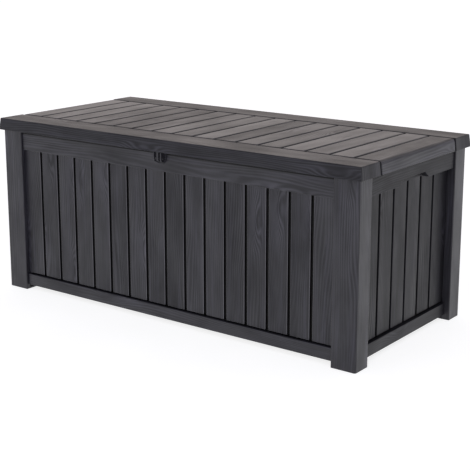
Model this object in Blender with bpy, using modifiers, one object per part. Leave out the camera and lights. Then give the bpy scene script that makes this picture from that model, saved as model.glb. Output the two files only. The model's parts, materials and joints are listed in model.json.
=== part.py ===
"""Deck storage box: a hinged resin chest with plank-effect walls and a lid on two gas struts.

Metres, +Z up, +X along the front, -Y towards the front; the origin is the middle of the
footprint, on the ground. Each named object is one piece of the box.
"""
import math

import bmesh
import bpy
from mathutils import Matrix, Vector

# ---------------------------------------------------------------- driving dimensions
LENGTH = 1.550                 # lid, along X
DEPTH = 0.724                  # lid, along Y
HEIGHT = 0.644
BODY_LENGTH = 1.525            # over the corner posts
BODY_DEPTH = 0.698
GAP = 0.0003                   # between pieces that touch
WALL = 0.0032                  # moulded wall thickness

POST_FRONT = 0.090             # width of a post's face on the long side
POST_SIDE = 0.0735             # width of a post's face on the short side
POST_RADIUS = 0.007
RIM_TOP = 0.612                # top of the posts and panels, up inside the lid's skirt

PANEL_BOTTOM = 0.017
BOTTOM_RAIL_TOP = 0.060
LONG_RAIL_BOTTOM = 0.533       # lower edge of the top rail on the front and back
SIDE_RAIL_BOTTOM = 0.538
LONG_DEPTHS = {"plank": 0.016, "top": 0.007, "bottom": 0.009}    # behind the post's face
SIDE_DEPTHS = {"plank": 0.030, "top": 0.006, "bottom": 0.020}
TURN_IN = 0.0065               # how far a panel's edges turn in, past the planks' back
LONG_PLANKS = 16
SIDE_PLANKS = 6
SIDE_PLANK_PITCH = 0.088
GROOVE_WIDTH = 0.006
GROOVE_DEPTH = 0.006           # a rib behind each groove keeps the wall whole
RIB_LAP = 0.0005               # how far a rib stops short of the shelf it meets
TONGUE = 0.020                 # panel edge that slides behind a post's return
TONGUE_LAP = 0.010             # part of a tongue that stays behind its own panel
TONGUE_BOTTOM = 0.029
TONGUE_TOP = 0.582
OVERRUN = 0.002                # how far a cutting shape stands out of what it cuts

HANDLE_BOTTOM_WIDTH = 0.186
HANDLE_TOP_WIDTH = 0.140
HANDLE_HEIGHT = 0.020
HANDLE_POCKET_HEIGHT = 0.046

FLOOR_TOP = 0.034
FLOOR_RIB_BOTTOM = 0.0175
FLOOR_RIB_INSET = 0.020
FLOOR_CLEARANCE = 0.001
FLOOR_RIBS_ACROSS = (-0.60, -0.36, -0.12, 0.12, 0.36, 0.60)
FLOOR_RIBS_ALONG = (-0.22, 0.0, 0.22)

SKIRT_BOTTOM = 0.602
SKIRT_FLARE = 0.005            # the skirt is wider at its bottom by this on each side
LID_PLANKS = 17
LID_PLANK_PITCH = 0.0901
LID_GROOVE_DEPTH = 0.004
LID_EDGE_RADIUS = 0.004
FRONT_RAIL_Y = -0.243
REAR_RAIL_Y = 0.249
LINER_BOTTOM = 0.614
LINER_SHEET = 0.0022
LINER_RIB_DEPTH = 0.010
LINER_HALF_X = 0.7615
LINER_HALF_Y = 0.3450
LINER_RIBS_ACROSS = (-0.48, -0.24, 0.0, 0.24, 0.48)
LINER_RIBS_ALONG = (-0.20, 0.0, 0.20)
LINER_RIB_HALF_X = 0.60        # reach of the ribs from the middle
LINER_RIB_HALF_Y = 0.290

HINGE_Y = 0.3515
HINGE_Z = 0.6035
HINGE_PLACES = (-0.56, -0.20, 0.20, 0.56)
BARREL_RADIUS = 0.007
HINGE_HALF_WIDTH = 0.0245
LEAF_HALF_WIDTH = 0.012
PIN_RADIUS = 0.003
PIN_CLEARANCE = 0.00008
HINGE_PLATE_BOTTOM = 0.570     # fixed plate on the back rail
HINGE_PLATE_TOP = 0.594
HINGE_PLATE_THICKNESS = 0.004
LEAF_PLATE_BOTTOM = 0.6125     # moving plate inside the skirt
LEAF_PLATE_TOP = 0.638
NOTCH_MARGIN = 0.002           # skirt notch beyond each end of a hinge
HEAD_HEIGHT = 0.0018           # pin and screw heads
SCREW_RADIUS = 0.0035
SCREW_SPREAD = 0.015           # hinge middle to either screw
SCREW_HEIGHT = 0.581

LATCH_X = -0.004
LATCH_HOLE_Y = -0.3530
LATCH_HOLE_Z = 0.576
LATCH_HOLE_RADIUS = 0.0045
LATCH_DISH_RADIUS = 0.028
LATCH_TOP = 0.5995
LATCH_PLATE = 0.003
LATCH_EAR_GAP = 0.0125         # latch middle to the inside of either ear
LATCH_EAR_WIDTH = 0.0055
LATCH_EAR_REACH = 0.018
LATCH_EAR_RADIUS = 0.0072
LATCH_EAR_FOOT = 0.0125        # below the padlock hole
LATCH_TONGUE_HALF = 0.005
LATCH_TONGUE_RADIUS = 0.0068
LATCH_TONGUE_REACH = 0.0135
LATCH_ROOT_HALF = 0.020
LATCH_ROOT_BOTTOM = 0.604
LATCH_ROOT_TOP = 0.632
LATCH_ROOT_THICKNESS = 0.0065
BORE_REACH = 0.030             # half the length of a boring tool

STRUT_X = 0.655
STRUT_ARM = 0.160              # hinge axis to either strut pivot
STRUT_LID_ANGLE = 2.0          # lid pivot, degrees below the hinge's level
STRUT_SPREAD = 68.0            # between the two pivots at the hinge, lid closed
LID_TRAVEL = 80.0
CYLINDER_RADIUS = 0.009
CYLINDER_START = 0.0095        # along the strut from its lower pivot
CYLINDER_END = 0.148
CAP_LENGTH = 0.0035
ROD_RADIUS = 0.004
EYE_RADIUS = 0.0065
EYE_HALF_WIDTH = 0.004
EAR_INNER = 0.0045             # clevis ears, from the strut's middle plane
EAR_OUTER = 0.0085
STRUT_PIN_RADIUS = 0.003
SLOT_RADIUS = 0.0055
SLOT_WALL = 0.0035
BRACKET_HALF_WIDTH = 0.018
LOWER_BRACKET_HALF_HEIGHT = 0.022
LOWER_BRACKET_THICKNESS = 0.004
UPPER_BRACKET_FRONT = 0.020    # from the lid pivot
UPPER_BRACKET_BACK = 0.034
UPPER_BRACKET_THICKNESS = 0.003
BORE_FLOOR = 0.002             # closed end of the cylinder
ROD_INSET = 0.0025             # rod's end from the cylinder's closed end
NECK_LAP = 0.0035              # a neck's end inside its eye

COLLECTION = "deck_storage_box"


# ---------------------------------------------------------------- scene and helpers
def clear_scene():
    for old in list(bpy.data.objects):
        bpy.data.objects.remove(old, do_unlink=True)


def new_collection(name):
    made = bpy.data.collections.new(name)
    bpy.context.scene.collection.children.link(made)
    return made


def new_material(name, color, roughness, metallic=0.0):
    made = bpy.data.materials.new(name)
    made.use_nodes = True
    shader = made.node_tree.nodes["Principled BSDF"]
    shader.inputs["Base Color"].default_value = (*color, 1.0)
    shader.inputs["Roughness"].default_value = roughness
    shader.inputs["Metallic"].default_value = metallic
    return made


clear_scene()
PARTS = new_collection(COLLECTION)
CUTTERS = new_collection("cutters")


def add_box(mesh, low, high):
    """One axis-aligned box, by two opposite corners."""
    low, high = Vector(low), Vector(high)
    size = Vector([abs(value) for value in high - low])
    place = Matrix.Translation((low + high) / 2) @ Matrix.Diagonal((*size, 1.0))
    return bmesh.ops.create_cube(mesh, size=1.0, matrix=place)["verts"]


def add_rod(mesh, start, end, radius, sides=20):
    """One closed cylinder between two points."""
    start, end = Vector(start), Vector(end)
    along = end - start
    turn = along.to_track_quat("Z", "Y").to_matrix().to_4x4()
    place = Matrix.Translation((start + end) / 2) @ turn
    bmesh.ops.create_cone(mesh, cap_ends=True, segments=sides, radius1=radius,
                          radius2=radius, depth=along.length, matrix=place)


def add_prism(mesh, outline, push):
    """A closed outline of points, filled and pushed out."""
    corners = [mesh.verts.new(point) for point in outline]
    face = mesh.faces.new(corners)
    made = bmesh.ops.extrude_face_region(mesh, geom=[face])
    moved = [item for item in made["geom"] if isinstance(item, bmesh.types.BMVert)]
    bmesh.ops.translate(mesh, verts=moved, vec=Vector(push))


def finish(name, mesh, paint=None):
    """Turn a bmesh of closed shapes into an object: a part, or without paint a tool."""
    bmesh.ops.recalc_face_normals(mesh, faces=mesh.faces)
    data = bpy.data.meshes.new(name)
    mesh.to_mesh(data)
    mesh.free()
    made = bpy.data.objects.new(name, data)
    if paint:
        data.materials.append(paint)
        PARTS.objects.link(made)
    else:
        made.hide_render = True
        made.display_type = "WIRE"
        CUTTERS.objects.link(made)
    return made


def shape(name, paint=None, box=(), rod=(), prism=(), sides=20):
    """An object of separate boxes, cylinders and prisms."""
    mesh = bmesh.new()
    for low, high in box:
        add_box(mesh, low, high)
    for start, end, radius in rod:
        add_rod(mesh, start, end, radius, sides)
    for outline, push in prism:
        add_prism(mesh, outline, push)
    return finish(name, mesh, paint)


def combine(piece, operation, *tools):
    """Join tool objects to a piece, or cut them from it, one after another."""
    for tool in tools:
        step = piece.modifiers.new(tool.name, "BOOLEAN")
        step.operation = operation
        step.solver = "EXACT"
        step.object = tool
    return piece


def smooth(piece, angle=35.0):
    piece.data.shade_smooth()
    piece.data.set_sharp_from_angle(angle=math.radians(angle))
    return piece


def arc(center, radius, start, end, steps):
    """Points of an arc in a plane, by angles in degrees."""
    angles = [math.radians(start + (end - start) * step / steps) for step in range(steps + 1)]
    return [(center[0] + radius * math.cos(a), center[1] + radius * math.sin(a))
            for a in angles]


def stadium(first, second, radius, steps=8):
    """Outline round two points in a plane."""
    heading = math.degrees(math.atan2(second[1] - first[1], second[0] - first[0]))
    return (arc(second, radius, heading - 90, heading + 90, steps)
            + arc(first, radius, heading + 90, heading + 270, steps))


def in_x_plane(outline, x):
    return [(x, y, z) for y, z in outline]


# ---------------------------------------------------------------- walls
def groove_places(count, pitch):
    """Middles of the grooves between `count` planks."""
    return [(step - (count - 2) / 2) * pitch for step in range(count - 1)]


def add_sheet(mesh, profile, half_width, face):
    """An open wall skin: a profile of (depth, height) points stretched along X."""
    skin = [mesh.verts.new((-half_width, depth - face, height)) for depth, height in profile]
    edges = [mesh.edges.new(pair) for pair in zip(skin, skin[1:])]
    made = bmesh.ops.extrude_edge_only(mesh, edges=edges)["geom"]
    moved = [item for item in made if isinstance(item, bmesh.types.BMVert)]
    bmesh.ops.translate(mesh, verts=moved, vec=(2 * half_width, 0, 0))


def solidify_inwards(piece, inside, thickness=WALL):
    """Give an open skin a wall on the side where the point `inside` lies."""
    mesh = bmesh.new()
    mesh.from_mesh(piece.data)
    bmesh.ops.recalc_face_normals(mesh, faces=mesh.faces)
    mesh.normal_update()
    widest = max(mesh.faces, key=lambda side: side.calc_area())
    if widest.normal.dot(Vector(inside) - widest.calc_center_median()) > 0:
        bmesh.ops.reverse_faces(mesh, faces=mesh.faces)
    mesh.to_mesh(piece.data)
    mesh.free()
    wall = piece.modifiers.new("wall", "SOLIDIFY")
    wall.thickness = thickness
    wall.offset = -1.0
    wall.use_even_offset = True


def wall_panel(name, turn, half_width, face, depths, rail_bottom, grooves, paint):
    """A wall of grooved planks between hollow rails, facing -Y before it is turned."""
    plank = depths["plank"]
    inner = plank + WALL + TURN_IN
    profile = [(inner, PANEL_BOTTOM), (depths["bottom"], PANEL_BOTTOM),
               (depths["bottom"], BOTTOM_RAIL_TOP), (plank, BOTTOM_RAIL_TOP),
               (plank, rail_bottom), (depths["top"], rail_bottom),
               (depths["top"], RIM_TOP), (inner, RIM_TOP)]
    mesh = bmesh.new()
    add_sheet(mesh, profile, half_width, face)
    bmesh.ops.transform(mesh, matrix=turn, verts=mesh.verts)
    panel = finish(name, mesh, paint)
    solidify_inwards(panel, (0, 0, HEIGHT / 2))

    def turned(label, boxes):
        mesh = bmesh.new()
        for low, high in boxes:
            add_box(mesh, low, high)
        bmesh.ops.transform(mesh, matrix=turn, verts=mesh.verts)
        return finish(name + label, mesh)

    tongues = turned("_tongues", [
        ((side * (half_width - TONGUE_LAP), plank + GAP - face, TONGUE_BOTTOM),
         (side * (half_width + TONGUE), plank + WALL + GAP - face, TONGUE_TOP))
        for side in (-1, 1)])
    half = GROOVE_WIDTH / 2
    ribs = turned("_ribs", [
        ((place - half - WALL, plank + WALL / 2 - face, BOTTOM_RAIL_TOP - WALL + RIB_LAP),
         (place + half + WALL, plank + GROOVE_DEPTH + WALL - face, rail_bottom + WALL - RIB_LAP))
        for place in grooves])
    cuts = turned("_grooves", [
        ((place - half, plank - OVERRUN - face, BOTTOM_RAIL_TOP + GAP),
         (place + half, plank + GROOVE_DEPTH - face, rail_bottom - GAP))
        for place in grooves])
    combine(panel, "UNION", tongues, ribs)
    return combine(panel, "DIFFERENCE", cuts)


def long_panel(name, degrees, paint):
    half_width = BODY_LENGTH / 2 - POST_FRONT - GAP
    pitch = 2 * half_width / LONG_PLANKS
    return wall_panel(name, Matrix.Rotation(math.radians(degrees), 4, "Z"), half_width,
                      BODY_DEPTH / 2, LONG_DEPTHS, LONG_RAIL_BOTTOM,
                      groove_places(LONG_PLANKS, pitch), paint)


def side_panel(name, degrees, paint):
    """A short wall; its top rail holds a finger pocket behind a notch."""
    half_width = BODY_DEPTH / 2 - POST_SIDE - GAP
    face = BODY_LENGTH / 2
    turn = Matrix.Rotation(math.radians(degrees), 4, "Z")
    panel = wall_panel(name, turn, half_width, face, SIDE_DEPTHS, SIDE_RAIL_BOTTOM,
                       groove_places(SIDE_PLANKS, SIDE_PLANK_PITCH), paint)
    plank = SIDE_DEPTHS["plank"] - face
    rail = SIDE_DEPTHS["top"] - face
    half = HANDLE_BOTTOM_WIDTH / 2
    pocket_top = SIDE_RAIL_BOTTOM + HANDLE_POCKET_HEIGHT
    mesh = bmesh.new()
    add_box(mesh, (-half - WALL, rail + 0.001, SIDE_RAIL_BOTTOM + 0.001),
            (half + WALL, plank + WALL, pocket_top + WALL))
    bmesh.ops.transform(mesh, matrix=turn, verts=mesh.verts)
    pocket_wall = finish(name + "_pocket_wall", mesh)

    mesh = bmesh.new()
    add_box(mesh, (-half, rail + WALL, SIDE_RAIL_BOTTOM - OVERRUN), (half, plank, pocket_top))
    bmesh.ops.transform(mesh, matrix=turn, verts=mesh.verts)
    pocket = finish(name + "_pocket", mesh)

    mesh = bmesh.new()
    low, high = SIDE_RAIL_BOTTOM, SIDE_RAIL_BOTTOM + HANDLE_HEIGHT
    top_half = HANDLE_TOP_WIDTH / 2
    outline = [(-half, low - OVERRUN), (half, low - OVERRUN), (half, low),
               (top_half, high), (-top_half, high), (-half, low)]
    add_prism(mesh, [(x, rail - OVERRUN, z) for x, z in outline], (0, WALL + 2 * OVERRUN, 0))
    bmesh.ops.transform(mesh, matrix=turn, verts=mesh.verts)
    notch = finish(name + "_notch", mesh)
    combine(panel, "UNION", pocket_wall)
    combine(panel, "DIFFERENCE", pocket, notch)
    return panel


def corner_post(name, side_x, side_y, paint):
    """A hollow corner post, open to the inside, with a closed foot and cap."""
    x, y = BODY_LENGTH / 2, BODY_DEPTH / 2
    round_middle = (x - POST_RADIUS, -y + POST_RADIUS)
    skin = [(x - POST_FRONT, -y + LONG_DEPTHS["plank"]), (x - POST_FRONT, -y)]
    skin += arc(round_middle, POST_RADIUS, -90, 0, 4)
    skin += [(x, -y + POST_SIDE), (x - SIDE_DEPTHS["plank"], -y + POST_SIDE)]
    mesh = bmesh.new()
    points = [mesh.verts.new((px, py, 0.0)) for px, py in skin]
    edges = [mesh.edges.new(pair) for pair in zip(points, points[1:])]
    made = bmesh.ops.extrude_edge_only(mesh, edges=edges)["geom"]
    moved = [item for item in made if isinstance(item, bmesh.types.BMVert)]
    bmesh.ops.translate(mesh, verts=moved, vec=(0, 0, RIM_TOP))
    bmesh.ops.scale(mesh, verts=mesh.verts, vec=(side_x, -side_y, 1))
    post = finish(name, mesh, paint)
    solidify_inwards(post, (0, 0, RIM_TOP / 2))
    half_wall = WALL / 2
    for label, low in (("_foot", 0.0), ("_cap", RIM_TOP - WALL)):
        plate = shape(name + label, box=[
            ((side_x * (x - POST_FRONT + half_wall), side_y * (y - half_wall), low),
             (side_x * (x - half_wall), side_y * (y - POST_SIDE + half_wall), low + WALL))])
        combine(post, "UNION", plate)
    return post


def floor_panel(paint):
    """The floor: one sheet on a grid of ribs."""
    wall = WALL + TURN_IN + FLOOR_CLEARANCE
    half_x = BODY_LENGTH / 2 - SIDE_DEPTHS["plank"] - wall
    half_y = BODY_DEPTH / 2 - LONG_DEPTHS["plank"] - wall
    sheet = shape("floor_panel", paint,
                  box=[((-half_x, -half_y, FLOOR_TOP - WALL), (half_x, half_y, FLOOR_TOP))])
    rib = WALL / 2
    across = [((x - rib, -half_y + FLOOR_RIB_INSET, FLOOR_RIB_BOTTOM),
               (x + rib, half_y - FLOOR_RIB_INSET, FLOOR_TOP - rib))
              for x in FLOOR_RIBS_ACROSS]
    along = [((-half_x + FLOOR_RIB_INSET, y - rib, FLOOR_RIB_BOTTOM + GAP),
              (half_x - FLOOR_RIB_INSET, y + rib, FLOOR_TOP - rib - GAP))
             for y in FLOOR_RIBS_ALONG]
    return combine(sheet, "UNION", shape("floor_ribs_across", box=across),
                   shape("floor_ribs_along", box=along))


# ---------------------------------------------------------------- lid
def lid_shell(paint):
    """The plank-effect top with a flared skirt, notched at the back for the hinges."""
    top_x, top_y = LENGTH / 2 - SKIRT_FLARE, DEPTH / 2 - SKIRT_FLARE
    mesh = bmesh.new()
    add_box(mesh, (-top_x, -top_y, SKIRT_BOTTOM), (top_x, top_y, HEIGHT))
    floor = [side for side in mesh.faces if side.normal.z < -0.5]
    bmesh.ops.delete(mesh, geom=floor, context="FACES")
    for vert in mesh.verts:
        if vert.co.z < HEIGHT - GAP:
            vert.co.x *= (LENGTH / 2) / top_x
            vert.co.y *= (DEPTH / 2) / top_y
    rounded = [edge for edge in mesh.edges if not edge.is_boundary]
    bmesh.ops.bevel(mesh, geom=rounded, offset=LID_EDGE_RADIUS, segments=2, profile=0.5,
                    affect="EDGES", material=-1)
    shell = finish("lid_shell", mesh, paint)
    solidify_inwards(shell, (0, 0, SKIRT_BOTTOM))

    half = GROOVE_WIDTH / 2
    places = groove_places(LID_PLANKS, LID_PLANK_PITCH)
    rails = (FRONT_RAIL_Y, REAR_RAIL_Y)

    def strips(label, margin, low, high, reach):
        """Boxes along every groove; the rails' boxes run to the ends and differ by a hair."""
        planks = shape("lid_plank" + label, box=[
            ((x - half - margin, FRONT_RAIL_Y, low), (x + half + margin, REAR_RAIL_Y, high))
            for x in places])
        lengthways = shape("lid_rail" + label, box=[
            ((-reach, y - half - margin, low - GAP), (reach, y + half + margin, high + GAP))
            for y in rails])
        return planks, lengthways

    web = WALL - GAP
    backing = strips("_backs", web, HEIGHT - LID_GROOVE_DEPTH - WALL, HEIGHT - WALL / 2,
                     top_x - WALL / 2)
    cuts = strips("_grooves", 0.0, HEIGHT - LID_GROOVE_DEPTH, HEIGHT + OVERRUN, top_x)
    end_backs = []
    for y in rails:
        for side in (-1, 1):
            outline = [(LENGTH / 2 - LID_GROOVE_DEPTH - WALL, SKIRT_BOTTOM + GAP),
                       (top_x - LID_GROOVE_DEPTH - WALL, HEIGHT - WALL / 2),
                       (top_x - WALL / 2, HEIGHT - WALL / 2),
                       (LENGTH / 2 - WALL / 2, SKIRT_BOTTOM + GAP)]
            end_backs.append(([(side * x, y - half - web + GAP, z) for x, z in outline],
                              (0, 2 * (half + web - GAP), 0)))
    end_cuts = []
    for y in rails:
        for side in (-1, 1):
            outline = [(LENGTH / 2 - LID_GROOVE_DEPTH, SKIRT_BOTTOM - OVERRUN),
                       (top_x - LID_GROOVE_DEPTH, HEIGHT + OVERRUN),
                       (LENGTH / 2 + OVERRUN, HEIGHT + OVERRUN),
                       (LENGTH / 2 + OVERRUN, SKIRT_BOTTOM - OVERRUN)]
            end_cuts.append(([(side * x, y - half + GAP / 2, z) for x, z in outline],
                             (0, GROOVE_WIDTH - GAP, 0)))
    notches = shape("lid_hinge_notches", box=[
        ((x - HINGE_HALF_WIDTH - NOTCH_MARGIN, HINGE_Y - 0.004, SKIRT_BOTTOM - OVERRUN),
         (x + HINGE_HALF_WIDTH + NOTCH_MARGIN, DEPTH / 2 + OVERRUN,
          HINGE_Z + BARREL_RADIUS + 0.004))
        for x in HINGE_PLACES])
    combine(shell, "UNION", *backing, shape("lid_end_backs", prism=end_backs))
    return combine(shell, "DIFFERENCE", *cuts, shape("lid_end_grooves", prism=end_cuts),
                   notches)


def lid_liner(paint):
    """The smooth underside: a tray that closes the lid, ribbed below."""
    top = HEIGHT - LID_GROOVE_DEPTH - WALL - FLOOR_CLEARANCE
    mesh = bmesh.new()
    add_box(mesh, (-LINER_HALF_X, -LINER_HALF_Y, LINER_BOTTOM),
            (LINER_HALF_X, LINER_HALF_Y, top))
    roof = [side for side in mesh.faces if side.normal.z > 0.5]
    bmesh.ops.delete(mesh, geom=roof, context="FACES")
    liner = finish("lid_liner", mesh, paint)
    solidify_inwards(liner, (0, 0, HEIGHT), LINER_SHEET)
    rib = LINER_SHEET
    low, high = LINER_BOTTOM - LINER_RIB_DEPTH, LINER_BOTTOM + LINER_SHEET / 2
    across = [((x - rib, -LINER_RIB_HALF_Y, low), (x + rib, LINER_RIB_HALF_Y, high))
              for x in LINER_RIBS_ACROSS]
    along = [((-LINER_RIB_HALF_X, y - rib, low + GAP), (LINER_RIB_HALF_X, y + rib, high - GAP))
             for y in LINER_RIBS_ALONG]
    return combine(liner, "UNION", shape("liner_ribs_across", box=across),
                   shape("liner_ribs_along", box=along))


# ---------------------------------------------------------------- hinges
def hinge_base(name, x, paint):
    """The fixed half of a hinge: a plate on the back rail and two knuckles."""
    plate_y = BODY_DEPTH / 2 - LONG_DEPTHS["top"] + GAP
    outer, inner = HINGE_HALF_WIDTH, LEAF_HALF_WIDTH + GAP
    plate = shape(name, paint, box=[((x - outer, plate_y, HINGE_PLATE_BOTTOM),
                                     (x + outer, plate_y + HINGE_PLATE_THICKNESS,
                                      HINGE_PLATE_TOP))])
    webs, knuckles = [], []
    for side in (-1, 1):
        webs.append(((x + side * inner, plate_y, HINGE_PLATE_TOP - OVERRUN),
                     (x + side * outer, HINGE_Y - 0.001, HINGE_Z)))
        knuckles.append(((x + side * inner, HINGE_Y, HINGE_Z),
                         (x + side * outer, HINGE_Y, HINGE_Z), BARREL_RADIUS))
    bore = shape(name + "_bore", rod=[((x - BORE_REACH, HINGE_Y, HINGE_Z),
                                       (x + BORE_REACH, HINGE_Y, HINGE_Z),
                                       PIN_RADIUS + PIN_CLEARANCE)])
    combine(plate, "UNION", shape(name + "_webs", box=webs),
            shape(name + "_knuckles", rod=knuckles))
    return smooth(combine(plate, "DIFFERENCE", bore))


def hinge_leaf(name, x, paint):
    """The moving half: one knuckle and a plate on the inside of the lid's skirt."""
    half = LEAF_HALF_WIDTH
    leaf = shape(name, paint, rod=[((x - half, HINGE_Y, HINGE_Z),
                                    (x + half, HINGE_Y, HINGE_Z), BARREL_RADIUS)])
    neck = shape(name + "_neck", box=[((x - half + GAP, HINGE_Y - 0.0030, HINGE_Z + 0.004),
                                       (x + half - GAP, HINGE_Y + 0.0010, 0.620))])
    plate = shape(name + "_plate", box=[((x - HINGE_HALF_WIDTH, HINGE_Y - 0.0032,
                                          LEAF_PLATE_BOTTOM),
                                         (x + HINGE_HALF_WIDTH, HINGE_Y + 0.0008,
                                          LEAF_PLATE_TOP))])
    bore = shape(name + "_bore", rod=[((x - BORE_REACH, HINGE_Y, HINGE_Z),
                                       (x + BORE_REACH, HINGE_Y, HINGE_Z),
                                       PIN_RADIUS + PIN_CLEARANCE)])
    combine(leaf, "UNION", neck, plate)
    return smooth(combine(leaf, "DIFFERENCE", bore))


def headed_pin(name, place, start, end, radius, paint):
    """A pin along X with a flat head at its start; place is its axis (y, z)."""
    way = 1 if end > start else -1
    pin = shape(name, paint, rod=[((start, *place), (end, *place), radius)])
    head = shape(name + "_head", rod=[((start - way * HEAD_HEIGHT, *place),
                                       (start + way * 0.0001, *place), radius * 1.7)])
    return smooth(combine(pin, "UNION", head))


def screw_head(name, seat, paint):
    """A pan head that stands off its seat towards the back."""
    x, y, z = seat
    return smooth(shape(name, paint, rod=[((x, y, z), (x, y + HEAD_HEIGHT, z), SCREW_RADIUS)],
                        sides=12))


# ---------------------------------------------------------------- padlock latch
def latch_bore(name):
    return shape(name, rod=[((LATCH_X - BORE_REACH, LATCH_HOLE_Y, LATCH_HOLE_Z),
                             (LATCH_X + BORE_REACH, LATCH_HOLE_Y, LATCH_HOLE_Z),
                             LATCH_HOLE_RADIUS)])


def latch_keeper(paint):
    """A round dish on the front rail with two upright ears for a padlock."""
    face = -BODY_DEPTH / 2 + LONG_DEPTHS["top"] - GAP
    middle = (LATCH_X, LATCH_TOP - 0.013)
    outline = [(LATCH_X - LATCH_DISH_RADIUS, LATCH_TOP)]
    outline += arc(middle, LATCH_DISH_RADIUS, 200, 340, 14)
    outline += [(LATCH_X + LATCH_DISH_RADIUS, LATCH_TOP)]
    keeper = shape("latch_keeper", paint,
                   prism=[([(x, face, z) for x, z in outline], (0, -LATCH_PLATE, 0))])
    root = face - LATCH_PLATE / 2
    ear = [(root, LATCH_TOP - GAP), (face - LATCH_EAR_REACH, LATCH_TOP - GAP)]
    ear += arc((LATCH_HOLE_Y, LATCH_HOLE_Z), LATCH_EAR_RADIUS, 180, 270, 5)
    ear += [(root, LATCH_HOLE_Z - LATCH_EAR_FOOT)]
    ears = [(in_x_plane(ear, LATCH_X + side * LATCH_EAR_GAP), (side * LATCH_EAR_WIDTH, 0, 0))
            for side in (-1, 1)]
    combine(keeper, "UNION", shape("latch_ears", prism=ears))
    return combine(keeper, "DIFFERENCE", latch_bore("latch_keeper_bore"))


def latch_tongue(paint):
    """The lid's tongue, which stands between the keeper's ears."""
    half = LATCH_TONGUE_HALF
    back = -BODY_DEPTH / 2 + LONG_DEPTHS["top"] - LATCH_PLATE - 4 * GAP
    top = SKIRT_BOTTOM - 4 * GAP
    foot = [(back, top), (back - LATCH_TONGUE_REACH, top)]
    foot += arc((LATCH_HOLE_Y, LATCH_HOLE_Z), LATCH_TONGUE_RADIUS, 180, 270, 5)
    foot += [(back, LATCH_HOLE_Z - LATCH_TONGUE_RADIUS)]
    tongue = shape("latch_tongue", paint,
                   prism=[(in_x_plane(foot, LATCH_X - half), (2 * half, 0, 0))])
    thick = LATCH_ROOT_THICKNESS
    root = shape("latch_tongue_root", box=[
        ((LATCH_X - LATCH_ROOT_HALF, back, LATCH_ROOT_BOTTOM),
         (LATCH_X + LATCH_ROOT_HALF, back - thick, LATCH_ROOT_TOP))])
    neck = shape("latch_tongue_neck", box=[
        ((LATCH_X - half + GAP, back - GAP, top - OVERRUN),
         (LATCH_X + half - GAP, back - thick + GAP, LATCH_ROOT_BOTTOM + OVERRUN))])
    combine(tongue, "UNION", neck, root)
    return combine(tongue, "DIFFERENCE", latch_bore("latch_tongue_bore"))


# ---------------------------------------------------------------- gas struts
def polar(angle_below):
    """A point one strut arm from the hinge, by its angle below the forward direction."""
    angle = math.radians(angle_below)
    return Vector((HINGE_Y - STRUT_ARM * math.cos(angle), HINGE_Z - STRUT_ARM * math.sin(angle)))


LID_PIVOT = polar(STRUT_LID_ANGLE)
BODY_PIVOT = polar(STRUT_LID_ANGLE + STRUT_SPREAD)
STRUT_WAY = (LID_PIVOT - BODY_PIVOT).normalized()
STRUT_CLOSED = (LID_PIVOT - BODY_PIVOT).length


def strut_length(lid_angle):
    """Distance between the two pivots with the lid open by an angle in degrees."""
    return 2 * STRUT_ARM * math.sin(math.radians(STRUT_SPREAD + lid_angle) / 2)


STRUT_STROKE = strut_length(LID_TRAVEL) - STRUT_CLOSED


def slot_end():
    """Where the rod's pin stands in the lid bracket, at its largest shift, at half travel."""
    half_travel = LID_TRAVEL / 2
    shift = strut_length(half_travel) - STRUT_CLOSED - STRUT_STROKE / 2
    below = math.radians((180 - STRUT_SPREAD - half_travel) / 2 - STRUT_LID_ANGLE)
    return LID_PIVOT + shift * Vector((math.cos(below), -math.sin(below)))


def along_strut(x, distance):
    y, z = BODY_PIVOT + STRUT_WAY * distance
    return (x, y, z)


def strut_eye(name, x, place, neck_start, neck_end, paint):
    """An eye for a pin along X, with a round neck towards the strut."""
    eye = shape(name, paint, rod=[((x - EYE_HALF_WIDTH, *place), (x + EYE_HALF_WIDTH, *place),
                                   EYE_RADIUS)])
    neck = shape(name + "_neck", rod=[(along_strut(x, neck_start), along_strut(x, neck_end),
                                       EYE_HALF_WIDTH - GAP)])
    bore = shape(name + "_bore", rod=[((x - BORE_REACH, *place), (x + BORE_REACH, *place),
                                       STRUT_PIN_RADIUS + PIN_CLEARANCE)])
    combine(eye, "UNION", neck)
    return smooth(combine(eye, "DIFFERENCE", bore))


def strut_lower_bracket(name, x, paint):
    """A clevis on the inside of the back panel."""
    wall = BODY_DEPTH / 2 - LONG_DEPTHS["plank"] - WALL - 2 * GAP
    y, z = BODY_PIVOT
    bracket = shape(name, paint, box=[
        ((x - BRACKET_HALF_WIDTH, wall - LOWER_BRACKET_THICKNESS, z - LOWER_BRACKET_HALF_HEIGHT),
         (x + BRACKET_HALF_WIDTH, wall, z + LOWER_BRACKET_HALF_HEIGHT))])
    ears = []
    root = wall - LOWER_BRACKET_THICKNESS / 2
    outline = [(root, z - EYE_RADIUS), (root, z + EYE_RADIUS)]
    outline += arc((y, z), EYE_RADIUS, 90, 270, 8)
    for side in (-1, 1):
        ears.append((in_x_plane(outline, x + side * EAR_INNER),
                     (side * (EAR_OUTER - EAR_INNER), 0, 0)))
    bore = shape(name + "_bore", rod=[((x - BORE_REACH, y, z), (x + BORE_REACH, y, z),
                                       STRUT_PIN_RADIUS + PIN_CLEARANCE)])
    combine(bracket, "UNION", shape(name + "_ears", prism=ears))
    return combine(bracket, "DIFFERENCE", bore)


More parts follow.
